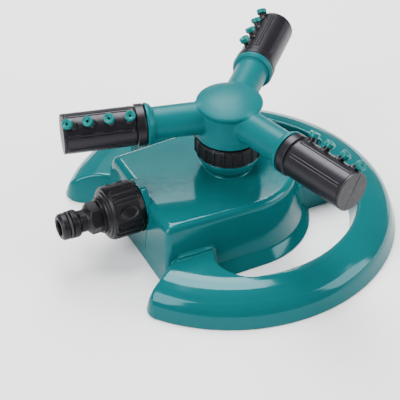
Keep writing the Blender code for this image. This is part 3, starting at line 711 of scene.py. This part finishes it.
def make_hub():
    """The hub as one skin, and on each arm a turned flange with its spigot."""
    step = 0.62
    body, normals = skin(
        hub_field,
        axis_samples(-51.0, 53.5, step),
        axis_samples(-53.5, 41.0, step),
        axis_samples(66.0, 97.0, step * 0.9),
    )
    piece("rotor_hub_moulding", body, TEAL_HUB, "rotor", ["rotor_hub"], PLACE, normals)
    flange = rounded((
        (6.6, 65.0, 0), (8.8, 65.0, 0.5), (9.2, 64.2, 0.5), (9.2, 62.6, 0), (8.1, 62.6, 0),
        (8.1, 60.0, 0), (9.2, 60.0, 0), (9.2, 59.0, 0), (8.4, 59.0, 0), (8.4, 57.1, 0), (9.2, 57.1, 0),
        (9.2, FLANGE_OUT, 0.2), (13.2, FLANGE_OUT, 0.2), (FLANGE_R, 53.0, 0.2), (FLANGE_R, 51.8, 0.4),
        (12.2, FLANGE_IN + 0.1, 0.6), (11.3, FLANGE_IN - 0.1, 0.9), (10.35, FLANGE_IN - 1.4, 0),
        (6.6, FLANGE_IN - 1.4, 0),
    ))
    for number in ARMS:
        shape = turned(flange, circle_angles(96))
        piece(f"arm_flange_{number}", shape, TEAL_HUB, "rotor", [], arm_axis(number))


def make_retaining_nut():
    """A ring with narrow ribs between shallow flutes."""
    profile = rounded((
        (14.9, 66.2, 0.2), (20.7, 66.2, 0.4), (21.2, 65.3, 0.3), (21.85, 64.7, 0.4), (21.85, 55.6, 0.5),
        (20.9, 54.0, 0.5), (18.95, 54.0, 0.2), (18.95, 64.3, 0), (14.9, 64.3, 0),
    ))
    ribs = 20

    def shape(r, z, turn):
        across = np.abs((turn * ribs / (2 * math.pi) + 0.5) % 1.0 - 0.5) * 2 * math.pi * 21.5 / ribs
        rib = np.clip((1.15 - across) / 0.5, 0, 1)
        rib = rib * rib * (3 - 2 * rib)
        inset = 0.95 * (1 - rib) * np.clip((r - 20.9) / 0.5, 0, 1)
        return r - inset, z

    piece(
        "retaining_nut_ring", turned(dense(profile, 0.6), circle_angles(480), shape), SATIN,
        "retaining_nut", ["retaining_nut"], PLACE,
    )


# --- nozzle tubes ------------------------------------------------------------------------------

def tube_shape(r, z, turn):
    """Four beads in shallow slots along the tube, and its parting line."""
    relief = np.zeros_like(r)
    for bead in BEAD_TURNS:
        aside = wrapped(turn + NOZZLE_ROLL - bead) * TUBE_R
        away = np.hypot(aside, np.maximum(slab(z, SLOT_ZS), 0))
        wall = np.clip((SLOT_HALF - away) / 0.30, 0, 1)
        bump = np.sqrt(np.clip(1.0 - (away / BEAD_HALF) ** 2, 0, 1))
        relief += BEAD_HEIGHT * bump - SLOT_DEPTH * wall
    seam = wrapped(turn + NOZZLE_ROLL - math.pi) * TUBE_R
    relief += 0.07 * np.clip(1.0 - np.abs(seam) / 0.25, 0, 1)
    return np.where(r > 12.3, r + relief * (z > COLLAR_END + 1.0), r), z


def with_slot_ends(along):
    """The tube's dense profile with closer rows down its outer side, where the slots start and end."""
    rows = [z for start, stop in ((61.2, 64.2), (100.2, 103.0)) for z in np.arange(stop, start, -0.25)]
    outer = np.flatnonzero(np.abs(along[:, 0] - TUBE_R) < 0.02)
    first, last = outer[0], outer[-1] + 1
    run = np.concatenate((along[first:last], [(TUBE_R, z) for z in rows]))
    run = run[np.argsort(-run[:, 1])]
    return np.concatenate((along[:first], run, along[last:]))


def make_tube(number):
    """Collar, tube and four stems in one moulding."""
    profile = rounded((
        (10.6, 103.3, 0), (TUBE_R, 103.3, 0.25), (TUBE_R, 60.6, 0.25), (12.0, 60.3, 0.1), (11.9, 59.9, 0.1),
        (12.6, 59.6, 0.2), (TUBE_COLLAR_R, 59.3, 0.3), (TUBE_COLLAR_R, 54.5, 0.3), (12.7, TUBE_START, 0.3),
        (9.6, TUBE_START, 0), (9.6, 57.1, 0), (10.6, 57.1, 0),
    ))
    along = with_slot_ends(dense(profile, 2.2))
    beads = [(bead - NOZZLE_ROLL) % (2 * math.pi) for bead in BEAD_TURNS]
    angles = circle_angles(108, beads, 2.1 / TUBE_R, 0.16 / TUBE_R)
    shapes = [moved(turned(along, angles, tube_shape), arm_axis(number))]

    stem = rounded((
        (1.1, 5.0, 0.1), (2.3, 5.0, 0.25), (2.3, 1.3, 1.5), (3.1, 0.2, 0.3), (3.1, -1.3, 0), (1.1, -1.3, 0),
    ))
    for nozzle in NOZZLES:
        shapes.append(moved(turned(stem, circle_angles(32)), nozzle_axis(number, nozzle)))
    name = f"nozzle_tube_{number}"
    piece(f"{name}_moulding", joined(shapes), BLACK, f"tube_{number}", [name], sharp=32.0)


def end_mark(r, z, turn):
    """A fine flow line across the end cap's face, in line with the nozzles, and the mark of the gate."""
    aside = np.abs(r * np.sin(turn + NOZZLE_ROLL))
    deep = np.where(np.cos(turn + NOZZLE_ROLL) > 0, 1.0, 0.5)
    groove = deep * np.clip(1 - aside / 0.35, 0, 1) * np.clip((11.8 - r) / 0.6, 0, 1)
    gate = np.clip(1.0 - r, 0, 1)
    return r, np.where(z > TUBE_END - 0.01, z - 0.30 * np.maximum(groove, gate), z)


def make_end_cap(number):
    """The disc that closes a tube, with its plug-in rim."""
    cap = rounded((
        (0.02, TUBE_END, 0), (12.3, TUBE_END, 0.1), (TUBE_R, TUBE_END - 0.2, 0.1), (TUBE_R, TUBE_CAP, 0.1),
        (10.2, TUBE_CAP, 0), (10.2, TUBE_CAP - 3.0, 0.3), (8.6, TUBE_CAP - 3.0, 0.3), (8.6, TUBE_CAP, 0),
        (0.02, TUBE_CAP, 0),
    ))
    angles = circle_angles(96, (-NOZZLE_ROLL, math.pi - NOZZLE_ROLL), 0.25, 0.012)
    shape = turned(dense(cap, 0.5), angles, end_mark)
    name = f"tube_end_cap_{number}"
    piece(f"{name}_disc", shape, GREY, f"tube_{number}", [name], arm_axis(number))


def make_nozzle_caps(number):
    """The drilled caps on a tube's four stems."""
    jet = rounded((
        (0.75, 5.6, 0), (1.25, 6.1, 0.15), (1.8, 6.2, 0.15), (2.3, 6.7, 0.2), (3.3, 6.7, 0.4),
        (3.3, 3.8, 0.25), (2.6, 3.8, 0.1), (2.6, 5.3, 0), (0.75, 5.3, 0),
    ))
    for nozzle in NOZZLES:
        shape = turned(jet, circle_angles(48))
        name = f"nozzle_cap_{number}_{nozzle}"
        place = nozzle_axis(number, nozzle)
        piece(f"{name}_jet", shape, TEAL_CAP, f"tube_{number}", [name], place)


# --- hose coupling -----------------------------------------------------------------------------

def union_shape(r, z, turn):
    """Thumb dimples and, between them, groups of three ribs."""
    quarter = math.pi / 2
    aside = ((turn - DIMPLE_TURN + quarter / 2) % quarter - quarter / 2) * UNION_R
    dimple = 1.0 - (aside / DIMPLE_HALF_WIDTH) ** 2 - ((z - DIMPLE_ALONG) / DIMPLE_HALF_LENGTH) ** 2
    relief = -DIMPLE_DEPTH * np.sqrt(np.clip(dimple, 0, 1)) * np.clip(dimple * 4, 0, 1) ** 0.5
    between = ((turn - DIMPLE_TURN) % quarter - quarter / 2) * UNION_R
    for offset in (-RIB_SPACING, 0.0, RIB_SPACING):
        half_length = RIB_HALF_LENGTH if offset else MIDDLE_RIB_HALF_LENGTH
        away = np.hypot(between - offset, np.maximum(np.abs(z - RIB_ALONG) - half_length, 0))
        rib, groove = np.clip((1.35 - away) / 0.55, 0, 1), np.clip((2.3 - away) / 0.5, 0, 1)
        relief += RIB_HEIGHT * (rib - groove)
    return np.where(r > 15.5, np.minimum(r + relief, UNION_R + 0.1), r), z


def make_union_nut():
    """The nut's body, turned and then given its dimples and ribs."""
    profile = rounded((
        (11.3, 89.0, 0.2), (12.3, 89.0, 0.3), (12.8, 87.9, 0.3), (14.6, 87.6, 0.5), (14.9, 86.6, 0.3),
        (16.3, 86.3, 0.6), (UNION_R, 84.6, 1.2), (UNION_R, 68.2, 1.0), (16.6, 66.6, 0.8), (16.1, 64.8, 0.5),
        (13.3, 64.8, 0.3), (13.3, 85.2, 0), (11.3, 85.2, 0),
    ))
    piece(
        "union_nut_grip", turned(dense(profile, 0.32), circle_angles(330), union_shape), SATIN,
        "union_nut", ["union_nut"], HOSE_AXIS, sharp=50.0,
    )


def plug_shape(r, z, turn):
    """The hexagon, whose flats run out into the neck."""
    pitch = math.pi / 3
    flat = 9.15 / np.cos(turn % pitch - pitch / 2)
    return np.where((z > 91.0) & (z < 99.0) & (r > 8.0), np.minimum(r, flat), r), z


def make_hose_plug():
    """The quick-connect plug and the O-ring in its groove."""
    profile = rounded((
        (4.9, 116.3, 0.5), (5.8, 117.2, 0.5), (7.0, 117.2, 0.8), (8.5, 115.7, 1.2), (8.5, 112.4, 0.2),
        (6.7, 112.4, 0.2), (6.7, 109.6, 0.2), (8.7, 109.6, 0.2), (8.9, 108.6, 0.5), (8.9, 106.2, 0.7),
        (8.2, 105.0, 0.5), (7.1, 104.2, 1.0), (7.1, 99.8, 1.6), (9.4, 97.9, 0.8), (10.4, 96.9, 0.6),
        (10.4, 92.2, 0.5), (9.7, 91.5, 0.2), (11.0, 91.2, 0.3), (11.0, 84.9, 0), (12.8, 84.9, 0.2),
        (12.8, 82.2, 0.2), (7.2, 82.2, 0), (4.9, 92.0, 1.0),
    ))
    piece(
        "hose_plug_moulding", turned(dense(profile, 0.5), circle_angles(180), plug_shape), SATIN,
        "hose_plug", ["hose_plug"], HOSE_AXIS,
    )
    turns = np.linspace(math.pi / 2, math.pi / 2 - 2 * math.pi, 16, endpoint=False)
    ring = np.stack((7.95 + 0.95 * np.cos(turns), 111.0 + 0.95 * np.sin(turns)), -1)
    piece(
        "plug_seal_ring", turned(ring, circle_angles(96)), RUBBER, "hose_plug", ["plug_o_ring"],
        HOSE_AXIS,
    )


def finish_frame_nodes():
    """The inner pieces keep their CAD shapes and get the same materials."""
    looks = {
        "black_coupling": SATIN,
        "black_rubber": RUBBER,
        "white_bearing": WHITE,
        "stainless_steel": STEEL,
    }
    slots = {part["node"]: part["material_slot"] for part in frame["record"]["subparts"]}
    for name, obj in frame["nodes"].items():
        if not obj.hide_render:
            for place in obj.material_slots:
                place.material = looks[slots[name]]


# --- stage -------------------------------------------------------------------------------------

def make_stage():
    """A pale floor, a dim world and four softboxes."""
    bpy.ops.mesh.primitive_plane_add(size=6.0, location=(0.0, 0.0, -0.0002))
    floor = bpy.context.active_object
    floor.name = "floor"
    mat = bpy.data.materials.new("pale_floor")
    mat.use_nodes = True
    shader = mat.node_tree.nodes["Principled BSDF"]
    shader.inputs["Base Color"].default_value = (0.86, 0.86, 0.87, 1.0)
    shader.inputs["Roughness"].default_value = 0.9
    floor.data.materials.append(mat)

    world = bpy.data.worlds.new("studio")
    world.use_nodes = True
    world.node_tree.nodes["Background"].inputs["Color"].default_value = (0.93, 0.96, 1.0, 1.0)
    world.node_tree.nodes["Background"].inputs["Strength"].default_value = 0.36
    bpy.context.scene.world = world

    # place, size and power of each softbox, all aimed at the sprinkler's foot
    aim = Vector((0.0, 0.0, 0.05))
    softboxes = (
        ("overhead_left", (-0.49, 0.16, 1.03), (0.55, 0.90), 30.0),
        ("low_left", (-1.04, 0.16, 0.78), (0.74, 0.30), 0.7),
        ("front", (0.27, -0.95, 0.78), (0.55, 1.10), 22.0),
        ("back_right", (0.68, 1.05, 0.60), (0.70, 0.95), 20.0),
    )
    for name, place, (width, depth), power in softboxes:
        data = bpy.data.lights.new(name, "AREA")
        data.shape = "RECTANGLE"
        data.size, data.size_y = width, depth
        data.energy = power
        lamp = bpy.data.objects.new(name, data)
        bpy.context.scene.collection.objects.link(lamp)
        lamp.location = place
        lamp.rotation_euler = (aim - Vector(place)).to_track_quat("-Z", "Y").to_euler()


def make_camera():
    """The photograph's view, from the place and turn that its turned shapes give."""
    azimuth, elevation, roll = (math.radians(a) for a in (63.176, 38.655, 0.405))
    back = Vector((math.sin(azimuth) * math.cos(elevation), -math.cos(azimuth) * math.cos(elevation),
                   math.sin(elevation)))
    level_right = Vector((math.cos(azimuth), math.sin(azimuth), 0.0))
    level_up = back.cross(level_right)
    right = level_right * math.cos(roll) + level_up * math.sin(roll)
    turn = Matrix((right, back.cross(right), back)).transposed().to_4x4()
    data = bpy.data.cameras.new("camera")
    data.sensor_width = 36.0
    data.lens = 132.36
    camera = bpy.data.objects.new("camera", data)
    camera.matrix_world = PLACE @ Matrix.Translation((0.6604, -0.3539, 0.6112)) @ turn
    bpy.context.scene.collection.objects.link(camera)
    bpy.context.scene.camera = camera


make_base()
make_elbow()
make_screws()
make_hub()
make_retaining_nut()
for arm_number in ARMS:
    make_tube(arm_number)
    make_end_cap(arm_number)
    make_nozzle_caps(arm_number)
make_union_nut()
make_hose_plug()
finish_frame_nodes()
make_stage()
make_camera()
